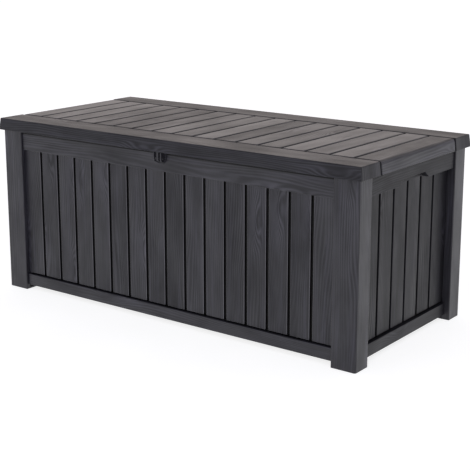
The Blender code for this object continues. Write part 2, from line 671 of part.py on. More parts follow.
def strut_upper_bracket(name, x, paint):
    """A slotted clevis under the lid's liner; the slot takes up the rod's lost motion."""
    top = LINER_BOTTOM - GAP
    y, z = LID_PIVOT
    far = slot_end()
    bracket = shape(name, paint, box=[
        ((x - BRACKET_HALF_WIDTH, y - UPPER_BRACKET_FRONT, top - UPPER_BRACKET_THICKNESS),
         (x + BRACKET_HALF_WIDTH, y + UPPER_BRACKET_BACK, top))])
    reach = SLOT_RADIUS + SLOT_WALL
    ears, webs = [], []
    for side in (-1, 1):
        inner, outer = x + side * EAR_INNER, x + side * EAR_OUTER
        ears.append((in_x_plane(stadium(LID_PIVOT, far, reach), inner),
                     (outer - inner, 0, 0)))
        webs.append(((inner + side * GAP / 3, y - reach + GAP, z),
                     (outer - side * GAP / 3, far[0] + reach - GAP,
                      top - UPPER_BRACKET_THICKNESS / 2)))
    slot = shape(name + "_slot", prism=[(in_x_plane(stadium(LID_PIVOT, far, SLOT_RADIUS),
                                                    x - BORE_REACH), (2 * BORE_REACH, 0, 0))])
    combine(bracket, "UNION", shape(name + "_webs", box=webs),
            shape(name + "_ears", prism=ears))
    return combine(bracket, "DIFFERENCE", slot)


def gas_strut(side_name, x, resin, steel, polished):
    """One strut: cylinder with its lower eye and cap, rod with its upper eye and pins."""
    lower, upper = BODY_PIVOT, LID_PIVOT
    cylinder = shape(side_name + "_strut_cylinder", resin,
                     rod=[(along_strut(x, CYLINDER_START), along_strut(x, CYLINDER_END),
                           CYLINDER_RADIUS)])
    bore = shape(side_name + "_cylinder_bore",
                 rod=[(along_strut(x, CYLINDER_START + BORE_FLOOR),
                       along_strut(x, CYLINDER_END + OVERRUN), ROD_RADIUS + 0.0008)])
    smooth(combine(cylinder, "DIFFERENCE", bore))
    cap_start = CYLINDER_END + GAP
    cap = shape(side_name + "_strut_cap", steel,
                rod=[(along_strut(x, cap_start), along_strut(x, cap_start + CAP_LENGTH - GAP),
                      CYLINDER_RADIUS - 0.0008)])
    cap_bore = shape(side_name + "_cap_bore",
                     rod=[(along_strut(x, CYLINDER_END - OVERRUN),
                           along_strut(x, cap_start + CAP_LENGTH + OVERRUN),
                           ROD_RADIUS + 0.0002)])
    smooth(combine(cap, "DIFFERENCE", cap_bore))
    strut_eye(side_name + "_strut_lower_eye", x, lower, NECK_LAP, CYLINDER_START - GAP, steel)
    rod_end = STRUT_CLOSED - EYE_RADIUS - 0.003
    smooth(shape(side_name + "_strut_rod", polished,
                 rod=[(along_strut(x, CYLINDER_START + ROD_INSET), along_strut(x, rod_end),
                       ROD_RADIUS)]))
    strut_eye(side_name + "_strut_upper_eye", x, upper, rod_end + GAP,
              STRUT_CLOSED - NECK_LAP, steel)
    headed_pin(side_name + "_strut_lower_pin", lower, x + EAR_OUTER + GAP,
               x - EAR_OUTER - 0.001, STRUT_PIN_RADIUS, polished)
    headed_pin(side_name + "_strut_upper_pin", upper, x + EAR_OUTER + GAP,
               x - EAR_OUTER - 0.001, STRUT_PIN_RADIUS, polished)


# ---------------------------------------------------------------- the box
def build():
    wall_resin = new_material("graphite_resin", (0.052, 0.052, 0.056), 0.55)
    lid_resin = new_material("graphite_lid_resin", (0.062, 0.060, 0.060), 0.50)
    black_resin = new_material("black_resin", (0.025, 0.025, 0.027), 0.45)
    zinc = new_material("zinc_steel", (0.55, 0.55, 0.56), 0.35, 1.0)
    polished = new_material("polished_steel", (0.75, 0.75, 0.76), 0.15, 1.0)
    black_tube = new_material("black_painted_steel", (0.02, 0.02, 0.021), 0.35)

    floor_panel(black_resin)
    long_panel("front_panel", 0, wall_resin)
    long_panel("back_panel", 180, wall_resin)
    side_panel("right_side_panel", 90, wall_resin)
    side_panel("left_side_panel", 270, wall_resin)
    for front_name, side_y in (("front", -1), ("back", 1)):
        for side_name, side_x in (("left", -1), ("right", 1)):
            corner_post(f"{front_name}_{side_name}_post", side_x, side_y, wall_resin)
    lid_shell(lid_resin)
    lid_liner(black_resin)
    latch_keeper(wall_resin)
    latch_tongue(wall_resin)

    back_seat = BODY_DEPTH / 2 - LONG_DEPTHS["top"] + HINGE_PLATE_THICKNESS + 2 * GAP
    for number, x in enumerate(HINGE_PLACES, 1):
        hinge_base(f"hinge_base_{number}", x, zinc)
        hinge_leaf(f"hinge_leaf_{number}", x, zinc)
        headed_pin(f"hinge_pin_{number}", (HINGE_Y, HINGE_Z), x - HINGE_HALF_WIDTH - GAP,
                   x + HINGE_HALF_WIDTH + 0.001, PIN_RADIUS, polished)
        for side_name, side in (("left", -1), ("right", 1)):
            screw_head(f"hinge_screw_{number}_{side_name}",
                       (x + side * SCREW_SPREAD, back_seat, SCREW_HEIGHT), polished)

    for side_name, side in (("left", -1), ("right", 1)):
        x = side * STRUT_X
        strut_lower_bracket(f"{side_name}_strut_lower_bracket", x, zinc)
        strut_upper_bracket(f"{side_name}_strut_upper_bracket", x, zinc)
        gas_strut(side_name, x, black_tube, zinc, polished)


build()
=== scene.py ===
import json
import math

import bmesh
import bpy
from mathutils import Matrix, Vector


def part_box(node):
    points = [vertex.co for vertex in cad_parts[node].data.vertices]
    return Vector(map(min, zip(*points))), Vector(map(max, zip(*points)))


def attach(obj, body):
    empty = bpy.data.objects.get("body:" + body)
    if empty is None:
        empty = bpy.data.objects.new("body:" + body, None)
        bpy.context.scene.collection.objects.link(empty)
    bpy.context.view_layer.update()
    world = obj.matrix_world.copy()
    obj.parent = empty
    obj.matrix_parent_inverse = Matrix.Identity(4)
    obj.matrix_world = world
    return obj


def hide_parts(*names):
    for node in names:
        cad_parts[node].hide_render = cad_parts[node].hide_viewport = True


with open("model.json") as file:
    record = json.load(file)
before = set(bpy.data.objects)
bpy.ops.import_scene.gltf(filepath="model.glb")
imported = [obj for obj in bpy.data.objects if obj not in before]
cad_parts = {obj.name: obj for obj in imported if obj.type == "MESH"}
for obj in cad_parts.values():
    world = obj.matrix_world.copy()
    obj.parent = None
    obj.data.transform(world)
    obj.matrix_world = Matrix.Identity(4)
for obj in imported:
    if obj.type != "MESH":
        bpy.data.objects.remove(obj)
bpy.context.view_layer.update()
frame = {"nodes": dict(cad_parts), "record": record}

bl_info = {
    "name": "Deck Storage Box",
    "version": (1, 0, 0),
    "blender": (4, 5, 0),
    "location": "3D View > Sidebar > Deck Box",
    "description": "Wood-effect resin deck box with a hinged lid on gas struts",
    "category": "Object",
}

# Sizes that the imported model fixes.
LID_LOW, LID_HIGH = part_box("lid_shell")
FRONT_LOW, FRONT_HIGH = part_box("front_panel")
SIDE_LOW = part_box("right_side_panel")[0]
POST_LOW, POST_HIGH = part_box("front_right_post")
LINER_LOW, LINER_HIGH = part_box("lid_liner")
KEEPER_LOW, KEEPER_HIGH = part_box("latch_keeper")
TONGUE_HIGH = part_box("latch_tongue")[1]
BODY_X, BODY_Y = POST_HIGH.x, -POST_LOW.y
POST_INNER_X, POST_INNER_Y = POST_LOW.x, -POST_HIGH.y
RIM = POST_HIGH.z
PANEL_FOOT = FRONT_LOW.z

# Clearance between neighbouring mouldings.
GAP = 0.0003
# Corners closer than this are one corner, and faces closer than this share a level.
MERGE = 0.00001
LEVEL = 0.0001

# How far behind the posts' faces a wall's planks, top rail and bottom rail lie.
LONG_WALL_DEPTHS = (0.016, 0.007, 0.009)
END_WALL_DEPTHS = (0.030, 0.006, 0.020)
# A recess's painted shade fades out over this height.
SHADE_STRIP = 0.006
# A painted shadow line on a wall's top rail under the lid ends this far below the lid,
# and fades out by the second.
LID_SHADE, LID_SHADE_FADE = 0.0078, 0.0105
# The value of the "hollow" attribute where a plank's rounded edge gets a painted highlight.
PAINTED_HIGHLIGHT = -1.0
# How far a wall's ends are tucked back and then reach behind the posts.
TUCK, REACH = 0.0004, 0.020
# The planks' ends are looked for this far inside a wall's foot and top.
RAIL_CLEAR = 0.03

# Hand grip: half widths at its foot and top, height, pocket height, and the pocket's lip.
GRIP_WIDE, GRIP_NARROW, GRIP_TALL, GRIP_POCKET = 0.097, 0.072, 0.020, 0.046
GRIP_LIP = 0.0006
# The part of the hand grip that gets painted shade: above the first, within the second of its
# middle, and further than the third behind the rail's face.
GRIP_SHADE, GRIP_SHADE_HALF, GRIP_SHADE_DEPTH = 0.0165, 0.1, 0.004

# Posts: outer corner, other long edges, other edges, top and floor thickness.
POST_CORNER, POST_SIDE_EDGE, POST_EDGE = 0.0075, 0.003, 0.0010
POST_CAP, POST_SOLE = 0.004, 0.006
# How far a post's hollow opens past the faces where the walls go in.
POST_OPENING = 0.01

# Lid: how far its skirt leans out, where its two long rails' grooves run, the skirt's
# thickness at the ends and along the sides, and the resin left under a groove.
LID_FLARE = 0.005
LID_RAILS = (-0.243, 0.249)
LID_END_WALL, LID_SIDE_WALL = 0.0120, 0.0050
LID_CEILING = 0.003
LID_FOOT_EDGE = 0.0010

# Liner: sheet, half a rib's width, a rib's depth, and the rim's height and width.
LINER_SHEET, LINER_RIB, LINER_RIB_DEPTH = 0.0022, 0.0030, 0.0095
LINER_RIM, LINER_RIM_WIDE = 0.0155, 0.003
LINER_ACROSS = (-0.48, -0.24, 0.0, 0.24, 0.48)
LINER_ALONG = (-0.20, 0.0, 0.20)
LINER_RIB_X, LINER_RIB_Y = 0.60, 0.29

# Latch: the padlock's hole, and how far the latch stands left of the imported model's.
LATCH_Y, LATCH_Z, LATCH_HOLE = -0.3530, 0.576, 0.0045
LATCH_LEFT = 0.005
LATCH_DRILL = 0.03


# ---------------------------------------------------------------- settings
def metres(name, description, default):
    return bpy.props.FloatProperty(name=name, description=description, default=default,
                                   unit="LENGTH", precision=4)


def colour(name, description, default):
    return bpy.props.FloatVectorProperty(name=name, description=description, default=default,
                                         size=3, subtype="COLOR", min=0.0, max=1.0)


class DeckBoxSizes(bpy.types.PropertyGroup):
    """Sizes of the mouldings that a user would change."""
    long_planks: bpy.props.IntProperty(
        name="Long planks", description="Planks on the front and the back", default=16)
    side_planks: bpy.props.IntProperty(
        name="Side planks", description="Planks on each end wall", default=6)
    lid_planks: bpy.props.IntProperty(
        name="Lid planks", description="Planks across the lid", default=17)
    lid_pitch: metres("Lid pitch", "Distance between the lid's grooves", 0.0901)
    side_pitch: metres("Side pitch", "Distance between the end walls' grooves", 0.088)
    groove: metres("Groove width", "Width of the gap between two wall planks", 0.0108)
    groove_depth: metres("Groove depth", "Depth of the gap between two wall planks", 0.0095)
    lid_groove: metres("Lid groove width", "Width of the gap between two lid planks", 0.0075)
    lid_groove_depth: metres("Lid groove depth", "Depth of the lid's grooves", 0.0075)
    wall: metres("Wall", "Thickness of the wall mouldings", 0.0032)
    edge: metres("Edge radius", "Rounding of a wall plank's long edges", 0.0024)
    lid_edge: metres("Lid plank edge", "Rounding of a lid plank's long edges", 0.0045)
    lid_end: metres("Lid end edge", "Rounding of the lid's end boards", 0.011)
    lid_corner: metres("Lid corner", "Rounding of the lid rails' edges", 0.0028)
    bottom_rail: metres("Bottom rail top", "Height of the bottom rail's top edge", 0.060)
    slot: metres("Shadow slot", "Height of the slot over the bottom rail", 0.0045)
    front_rail: metres("Front rail", "Lower edge of the long walls' top rail", 0.533)
    side_rail: metres("Side rail", "Lower edge of the end walls' top rail", 0.538)


class DeckBoxColours(bpy.types.PropertyGroup):
    """Colours of the materials."""
    ridge: colour("Grain ridge", "Resin where the wood grain stands proud",
                  (0.0260, 0.0249, 0.0348))
    valley: colour("Grain valley", "Resin down in the wood grain", (0.0120, 0.0115, 0.0150))
    inner: colour("Inner resin", "Plain resin inside the box", (0.030, 0.030, 0.032))
    zinc: colour("Zinc", "Plated hinge and bracket steel", (0.50, 0.50, 0.51))
    polished: colour("Polished steel", "Rods, pins and screws", (0.72, 0.72, 0.73))
    paint: colour("Strut paint", "Paint on the strut cylinders", (0.012, 0.012, 0.013))


# ---------------------------------------------------------------- shader maths
class Value:
    """A number from a node, which Python's operators turn into Math nodes."""

    def __init__(self, graph, socket):
        self.graph = graph
        self.socket = socket

    def maths(self, operation, *others):
        made = self.graph.node("ShaderNodeMath", {"operation": operation},
                               dict(enumerate([self, *others])))
        return Value(self.graph, made.outputs[0])

    def __add__(self, other):
        return self.maths("ADD", other)

    def __radd__(self, other):
        return self.maths("ADD", other)

    def __sub__(self, other):
        return self.maths("SUBTRACT", other)

    def __rsub__(self, other):
        return (self * -1.0) + other

    def __mul__(self, other):
        return self.maths("MULTIPLY", other)

    def __rmul__(self, other):
        return self.maths("MULTIPLY", other)

    def __pow__(self, other):
        return self.maths("POWER", other)

    def __rpow__(self, other):
        return self.graph.value("ShaderNodeMath", 0, {"operation": "POWER"},
                                {0: other, 1: self})

    def sine(self):
        return self.maths("SINE")

    def span(self, low, high, new_low=0.0, new_high=1.0):
        """Smoothly maps low..high to new_low..new_high, and stays there outside."""
        made = self.graph.node("ShaderNodeMapRange", {"interpolation_type": "SMOOTHSTEP"},
                               {"Value": self, "From Min": low, "From Max": high,
                                "To Min": new_low, "To Max": new_high})
        return Value(self.graph, made.outputs["Result"])


class Graph:
    """The nodes of a material with a Principled shader, or of a world."""

    def __init__(self, owner, shader="Principled BSDF"):
        self.owner = owner
        owner.use_nodes = True
        self.tree = owner.node_tree
        self.shader = self.tree.nodes[shader]

    def feed(self, socket, given):
        if isinstance(given, Value):
            given = given.socket
        if isinstance(given, bpy.types.NodeSocket):
            self.tree.links.new(given, socket)
        elif given is not None:
            socket.default_value = given

    def node(self, kind, settings=None, inputs=None):
        made = self.tree.nodes.new(kind)
        for key, setting in (settings or {}).items():
            setattr(made, key, setting)
        for key, given in (inputs or {}).items():
            self.feed(made.inputs[key], given)
        return made

    def value(self, kind, output, settings=None, inputs=None):
        return Value(self, self.node(kind, settings, inputs).outputs[output])

    def vector(self, x, y, z=0.0):
        return self.node("ShaderNodeCombineXYZ", None, {0: x, 1: y, 2: z}).outputs[0]

    def noise(self, vector, scale, detail=2.0, roughness=0.5, distortion=0.0):
        return self.value("ShaderNodeTexNoise", "Fac", None,
                          {"Vector": vector, "Scale": scale, "Detail": detail,
                           "Roughness": roughness, "Distortion": distortion})

    def blend(self, share, first, second):
        made = self.node("ShaderNodeMix", {"data_type": "RGBA"},
                         {"Factor": share, "A": None, "B": None})
        sockets = [s for s in made.inputs if s.type == "RGBA"]
        for socket, given in zip(sockets, (first, second)):
            self.feed(socket, (*given, 1.0) if isinstance(given, tuple) else given)
        return [s for s in made.outputs if s.type == "RGBA"][0]

    def surface(self, **inputs):
        for key, given in inputs.items():
            self.feed(self.shader.inputs[key.replace("_", " ")], given)
        return self.owner

    def bump(self, height, distance, strength=1.0):
        return self.node("ShaderNodeBump", None, {"Height": height, "Distance": distance,
                                                  "Strength": strength}).outputs["Normal"]


def grained_resin(name="embossed_resin"):
    """Resin moulded with a wood grain that runs along the first UV axis, in metres."""
    hues = bpy.context.scene.deck_colours
    g = Graph(bpy.data.materials.new(name))
    uv = g.node("ShaderNodeUVMap", {"uv_map": "grain"}).outputs["UV"]
    split = g.node("ShaderNodeSeparateXYZ", None, {0: uv})
    along, across = Value(g, split.outputs[0]), Value(g, split.outputs[1])
    tone_and_shade = g.value("ShaderNodeAttribute", "Fac", {"attribute_name": "board_tone_and_shade"})
    # "hollow" attribute: painted shade where positive, painted highlight where negative
    hollow = g.value("ShaderNodeAttribute", "Fac", {"attribute_name": "hollow"})

    # growth rings: contour lines of a stretched noise, crowded into straight grain
    wander = g.noise(g.vector(along * 1.5, across * 8.0), 1.0, 1.5, 0.45)
    jitter = g.noise(g.vector(along * 9.0, across * 60.0), 1.0, 2.0, 0.6)
    spots = g.node("ShaderNodeTexVoronoi", {"voronoi_dimensions": "2D"},
                   {"Vector": g.vector(along * 2.4, across * 9.5), "Scale": 1.0})
    near = Value(g, spots.outputs["Distance"])
    lucky = g.node("ShaderNodeSeparateColor", None, {0: spots.outputs["Color"]})
    has_knot = Value(g, lucky.outputs[0]).span(0.55, 0.58)
    knot = near.span(0.30, 0.0) * has_knot
    core = near.span(0.085, 0.045) * has_knot
    phase = across * 760.0 + wander * 78.0 + jitter * 3.0 + knot * 19.0
    ring = (phase.sine() * 0.5 + 0.5) ** 1.4
    fibre = g.noise(g.vector(along * 7.0, across * 420.0), 1.0, 3.0, 0.65)
    fade = g.noise(g.vector(along * 2.2, across * 7.0 + 9.0), 1.0, 1.0).span(0.32, 0.66, 0.25)
    height = ring * 0.56 * fade + fibre * 0.48 - core * 0.30
    blotch = g.noise(g.vector(along * 5.0, across * 14.0), 1.0, 3.0, 0.55)
    streak = g.noise(g.vector(along * 3.0, across * 70.0), 1.0, 3.0, 0.6)
    shade = (height * 0.62 + blotch * 0.55 + streak * 0.55).span(0.56, 1.04)
    base = g.blend(shade, tuple(hues.valley), tuple(hues.ridge))
    lighter = tuple(part * 2.5 for part in hues.ridge)
    base = g.blend(streak.span(0.50, 0.76, 0.0, 0.55), base, lighter)
    whorl = near.span(0.50, 0.08) * has_knot * 0.8 + fade * 0.12
    base = g.blend(ring * whorl * blotch.span(0.35, 0.60), base, lighter)
    # the board's tone lightens or darkens it: random per board, and low on the end walls as
    # painted shade of those sides
    base = g.blend(tone_and_shade, g.blend(0.62, base, (0.0, 0.0, 0.0)),
                   g.blend(0.30, base, tuple(hues.ridge)))
    cloud = g.noise(g.vector(along * 4.0 + 3.0, across * 11.0), 1.0, 2.0, 0.5)
    base = g.blend(cloud.span(0.56, 0.32, 0.0, 0.50), base, tuple(hues.valley))
    # painted highlight: lighter colour where "hollow" is negative, on the long walls' plank
    # edges
    base = g.blend(hollow * -0.85, base, (0.150, 0.147, 0.165))
    # painted shade: nearly black in grooves, the grip's pocket and the line under the lid
    base = g.blend(hollow * 0.98, base, (0.0004, 0.0004, 0.0004))
    gloss = (blotch * 0.6 + height * 0.35 + tone_and_shade * 0.35).span(0.30, 0.95, 0.10, 0.95)
    g.shader.inputs["Specular IOR Level"].default_value = 0.22
    g.shader.inputs["Coat Roughness"].default_value = 0.36
    g.shader.inputs["Coat IOR"].default_value = 1.40
    # the coat is thinned in the painted shade and thickened on the painted highlight
    return g.surface(Base_Color=base, Roughness=fibre.span(0.25, 0.8, 0.42, 0.58),
                     Metallic=0.0, Coat_Weight=gloss * (1.0 - hollow),
                     Normal=g.bump(height, 0.0006, 0.9))


def plain_resin(name, tint, scale=900.0):
    """Fine stippled resin for the inside and the underside."""
    g = Graph(bpy.data.materials.new(name))
    at = g.node("ShaderNodeTexCoord").outputs["Object"]
    stipple = g.noise(at, scale, 2.0, 0.6)
    cloud = g.noise(at, 9.0, 3.0, 0.55)
    base = g.blend(cloud.span(0.3, 0.7), tuple(part * 0.82 for part in tint),
                   tuple(min(1.0, part * 1.2) for part in tint))
    return g.surface(Base_Color=base, Roughness=cloud.span(0.2, 0.8, 0.46, 0.58),
                     Normal=g.bump(stipple, 0.00015, 0.7))


def metal(name, tint, roughness, streak=(40.0, 40.0, 40.0), metallic=1.0):
    """Steel with fine variation in tint and polish."""
    g = Graph(bpy.data.materials.new(name))
    at = g.node("ShaderNodeTexCoord").outputs["Object"]
    stretched = g.node("ShaderNodeMapping", None, {"Vector": at, "Scale": streak}).outputs[0]
    grain = g.noise(stretched, 6.0, 3.0, 0.6)
    base = g.blend(grain.span(0.3, 0.7), tuple(part * 0.86 for part in tint),
                   tuple(min(1.0, part * 1.08) for part in tint))
    return g.surface(Base_Color=base, Metallic=metallic,
                     Roughness=grain.span(0.25, 0.75, roughness * 0.8, roughness * 1.25),
                     Normal=g.bump(grain, 0.00005, 0.5))


# ---------------------------------------------------------------- mesh tools
def block(mesh, low, high):
    """A box by two opposite corners."""
    low, high = Vector(low), Vector(high)
    size = Vector([abs(part) for part in high - low])
    place = Matrix.Translation((low + high) / 2) @ Matrix.Diagonal((*size, 1.0))
    bmesh.ops.create_cube(mesh, size=1.0, matrix=place)


def slit(mesh, faces, point, normal):
    """Divides some faces where a plane crosses them."""
    geometry = set(faces)
    for face in faces:
        geometry.update(face.edges)
        geometry.update(face.verts)
    bmesh.ops.bisect_plane(mesh, geom=list(geometry), dist=MERGE, plane_co=point,
                           plane_no=normal)


def cut(mesh, axis, places, pick=None):
    """Divides the picked faces at places along an axis, 0 to 2."""
    normal = Vector([1.0 if step == axis else 0.0 for step in range(3)])
    for place in places:
        faces = [face for face in mesh.faces if pick is None or pick(face)]
        slit(mesh, faces, normal * place, normal)


def push(mesh, pick, offset):
    """Extrudes the picked faces by an offset and leaves nothing behind them."""
    faces = [face for face in mesh.faces if pick(face)]
    made = bmesh.ops.extrude_face_region(mesh, geom=faces)["geom"]
    moved = [item for item in made if isinstance(item, bmesh.types.BMVert)]
    bmesh.ops.delete(mesh, geom=[face for face in faces if face.is_valid], context="FACES")
    bmesh.ops.translate(mesh, verts=moved, vec=Vector(offset))


def round_edges(mesh, radius, segments=2):
    """Bevels every edge sharper than 35 degrees."""
    limit = math.radians(35.0)
    edges = [edge for edge in mesh.edges
             if edge.is_manifold and edge.calc_face_angle(0.0) > limit]
    bmesh.ops.bevel(mesh, geom=edges, offset=radius, segments=segments, profile=0.5,
                    affect="EDGES", material=-1, clamp_overlap=True)


def outline_prism(mesh, outline, offset):
    """A closed outline of points, filled and extruded."""
    corners = [mesh.verts.new(point) for point in outline]
    face = mesh.faces.new(corners)
    made = bmesh.ops.extrude_face_region(mesh, geom=[face])["geom"]
    moved = [item for item in made if isinstance(item, bmesh.types.BMVert)]
    bmesh.ops.translate(mesh, verts=moved, vec=Vector(offset))
    bmesh.ops.recalc_face_normals(mesh, faces=mesh.faces)


def rod(mesh, start, end, radius, sides=32):
    """A cylinder between two points."""
    start, end = Vector(start), Vector(end)
    along = end - start
    place = (Matrix.Translation((start + end) / 2)
             @ along.to_track_quat("Z", "Y").to_matrix().to_4x4())
    bmesh.ops.create_cone(mesh, cap_ends=True, segments=sides, radius1=radius,
                          radius2=radius, depth=along.length, matrix=place)


def arc(center, radius, start, end, steps):
    """Points of an arc in a plane, by angles in degrees."""
    angles = [math.radians(start + (end - start) * step / steps) for step in range(steps + 1)]
    return [(center[0] + radius * math.cos(a), center[1] + radius * math.sin(a))
            for a in angles]


def carve(mesh, tool, operation="DIFFERENCE"):
    """A new bmesh of `mesh` cut by, or joined to, `tool`; both are used up."""
    bmesh.ops.recalc_face_normals(tool, faces=tool.faces)
    objects = []
    for label, shape in (("carved", mesh), ("tool", tool)):
        data = bpy.data.meshes.new(label)
        shape.to_mesh(data)
        shape.free()
        objects.append(bpy.data.objects.new(label, data))
        bpy.context.scene.collection.objects.link(objects[-1])
    step = objects[0].modifiers.new("carve", "BOOLEAN")
    step.operation = operation
    step.solver = "EXACT"
    step.object = objects[1]
    ready = objects[0].evaluated_get(bpy.context.evaluated_depsgraph_get())
    result = bmesh.new()
    result.from_mesh(ready.to_mesh())
    ready.to_mesh_clear()
    for used in objects:
        data = used.data
        bpy.data.objects.remove(used)
        bpy.data.meshes.remove(data)
    bmesh.ops.dissolve_limit(result, angle_limit=math.radians(0.5), verts=result.verts,
                             edges=result.edges)
    bmesh.ops.remove_doubles(result, verts=result.verts, dist=0.00002)
    return result


def tone_of(board):
    """A steady pseudo-random share for a board's number."""
    return math.sin(board * 12.9898 + 4.1) * 43758.5453 % 1.0


def lay_grain(mesh, board_of, middle=0.5, spread=0.3):
    """UVs in metres along and across each board, and each board's own tone; a low `middle`
    paints a whole wall darker as painted shade.

    board_of(centre, normal) gives (axis of the grain, board number); the tones lie
    within `spread` around `middle`.
    """
    layer = mesh.loops.layers.uv.new("grain")
    tone_and_shade = mesh.faces.layers.float.new("board_tone_and_shade")
    for face in mesh.faces:
        axis, board = board_of(face.calc_center_median(), face.normal)
        others = [step for step in range(3) if step != axis]
        across = min(others, key=lambda step: abs(face.normal[step]))
        face[tone_and_shade] = middle + spread * (tone_of(board) - 0.5)
        for loop in face.loops:
            place = loop.vert.co
            loop[layer].uv = (place[axis] + board * 1.71, place[across] + board * 0.413)


def mark_painted_light(mesh, depth_of):
    """Stores the "hollow" attribute: painted shade from 0 to 1, mostly by how deep each vertex
    lies in a groove, or the negative value of a painted highlight.
    """
    layer = mesh.verts.layers.float.new("hollow")
    for vert in mesh.verts:
        depth = depth_of(vert.co)
        vert[layer] = min(1.0, depth) if depth > 0.0 or depth == PAINTED_HIGHLIGHT else 0.0


def publish(name, mesh, material, body, nodes=(), closed=True):
    """Makes the finished object, shades it, hangs it under its body and hides the parts it
    stands for.
    """
    if closed:
        bmesh.ops.recalc_face_normals(mesh, faces=mesh.faces)
    data = bpy.data.meshes.new(name)
    mesh.to_mesh(data)
    mesh.free()
    data.materials.append(material)
    piece = bpy.data.objects.new(name, data)
    bpy.context.scene.collection.objects.link(piece)
    data.shade_smooth()
    data.set_sharp_from_angle(angle=math.radians(50))
    weighted = piece.modifiers.new("flat faces stay flat", "WEIGHTED_NORMAL")
    weighted.keep_sharp = True
    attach(piece, body)
    if nodes:
        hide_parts(*nodes)
    return piece


def shared(name, maker, *given):
    """One material by name, made on first use."""
    return bpy.data.materials.get(name) or maker(name, *given)


def resin():
    return shared("embossed_resin", grained_resin)


def groove_places(count, pitch):
    return [(step - (count - 2) / 2) * pitch for step in range(count - 1)]


# ---------------------------------------------------------------- walls
def middle_of(face):
    return face.calc_center_median()


def pull_edges(mesh, pick, *offsets):
    """Extrudes the picked open edges through one offset after another."""
    edges = [edge for edge in mesh.edges
             if edge.is_boundary and pick((edge.verts[0].co + edge.verts[1].co) / 2)]
    for offset in offsets:
        made = bmesh.ops.extrude_edge_only(mesh, edges=edges)["geom"]
        moved = [item for item in made if isinstance(item, bmesh.types.BMVert)]
        bmesh.ops.translate(mesh, verts=moved, vec=Vector(offset))
        edges = [item for item in made if isinstance(item, bmesh.types.BMEdge)
                 and item.is_boundary and all(vert in moved for vert in item.verts)]


def plank_wall(half, face, depths, rail, grooves, flange, handle=None):
    """The outer skin of a wall that faces -Y: grooved planks between two rails.

    depths are the plank, top rail and bottom rail faces behind the post's face; flange
    is how far the rails' outer edges turn in past the planks.
    """
    sizes = bpy.context.scene.deck_sizes
    plank, top_rail, bottom_rail = depths
    front = plank - face
    slot_top = sizes.bottom_rail + sizes.slot
    wide = sizes.groove / 2
    mesh = bmesh.new()
    place = (Matrix.Translation((0, front, (RIM + PANEL_FOOT) / 2))
             @ Matrix.Rotation(math.radians(90), 4, "X")
             @ Matrix.Diagonal((half, (RIM - PANEL_FOOT) / 2, 1, 1)))
    bmesh.ops.create_grid(mesh, x_segments=1, y_segments=1, size=1.0, matrix=place)
    # the cuts at SHADE_STRIP and LID_SHADE bound the painted shade and the painted shadow line
    # under the lid
    cut(mesh, 2, (sizes.bottom_rail, slot_top, slot_top + SHADE_STRIP, rail - SHADE_STRIP,
                  rail, LID_LOW.z - LID_SHADE_FADE, LID_LOW.z - LID_SHADE))
    cut(mesh, 0, [place + side * wide for place in grooves for side in (-1, 1)])

    def between(low, high):
        return lambda item: low < middle_of(item).z < high

    def is_groove(item):
        at = middle_of(item)
        return (sizes.bottom_rail < at.z < slot_top
                or slot_top < at.z < rail and min(abs(at.x - x) for x in grooves) < wide)

    push(mesh, is_groove, (0, sizes.groove_depth, 0))
    push(mesh, between(rail, RIM), (0, top_rail - plank, 0))
    push(mesh, between(PANEL_FOOT, sizes.bottom_rail), (0, bottom_rail - plank, 0))
    if handle:
        handle(mesh, top_rail - face, front)
    bmesh.ops.remove_doubles(mesh, verts=mesh.verts, dist=MERGE)
    round_edges(mesh, sizes.edge)
    rail_front = top_rail - face

    def painted_light_at(at):
        # painted shade in the hand grip's pocket
        if (handle and at.z > rail + GRIP_SHADE and abs(at.x) < GRIP_SHADE_HALF
                and at.y > rail_front + GRIP_SHADE_DEPTH):
            return 1.0
        # a painted shadow line on the top rail, under the lid
        if at.z > LID_LOW.z - LID_SHADE - 4 * LEVEL:
            return 0.95
        # an edge's rounding has a row of vertices half way round, then the groove's side; the
        # groove's side and bottom get painted shade, and on the long walls the rounding's
        # middle row gets a painted highlight
        depth = at.y - front
        if depth > sizes.edge * 0.7:
            return 0.5 + depth / sizes.groove_depth
        return PAINTED_HIGHLIGHT if depth > 2 * LEVEL and not handle else 0.0

    def at_plank_end(at, side):
        return (side * at.x > half - LEVEL and RAIL_CLEAR < at.z < RIM - RAIL_CLEAR
                and abs(at.y - front) < LEVEL)

    mark_painted_light(mesh, painted_light_at)
    pull_edges(mesh, lambda at: at.z > RIM - LEVEL or at.z < PANEL_FOOT + LEVEL,
               (0, flange, 0))
    for side in (-1, 1):
        pull_edges(mesh, lambda at: at_plank_end(at, side), (0, TUCK, 0),
                   (side * REACH, 0, 0))
    return mesh


def face_outwards(mesh, way):
    """Turns an open skin's normals so that its widest face looks along `way`."""
    bmesh.ops.recalc_face_normals(mesh, faces=mesh.faces)
    mesh.normal_update()
    widest = max(mesh.faces, key=lambda item: item.calc_area())
    if widest.normal.dot(Vector(way)) < 0:
        bmesh.ops.reverse_faces(mesh, faces=mesh.faces)
        mesh.normal_update()


def wall_boards(rail, pitch, seed, grain_axis):
    """Board numbers of a wall that runs along grain_axis: planks upright, rails lengthways."""
    bottom = bpy.context.scene.deck_sizes.bottom_rail

    def board_of(centre, normal):
        if centre.z > rail + 2 * LEVEL:
            return grain_axis, seed + 90
        if centre.z < bottom - 2 * LEVEL:
            return grain_axis, seed + 91
        return 2, seed + int(math.floor(centre[grain_axis] / pitch + 50.0))
    return board_of


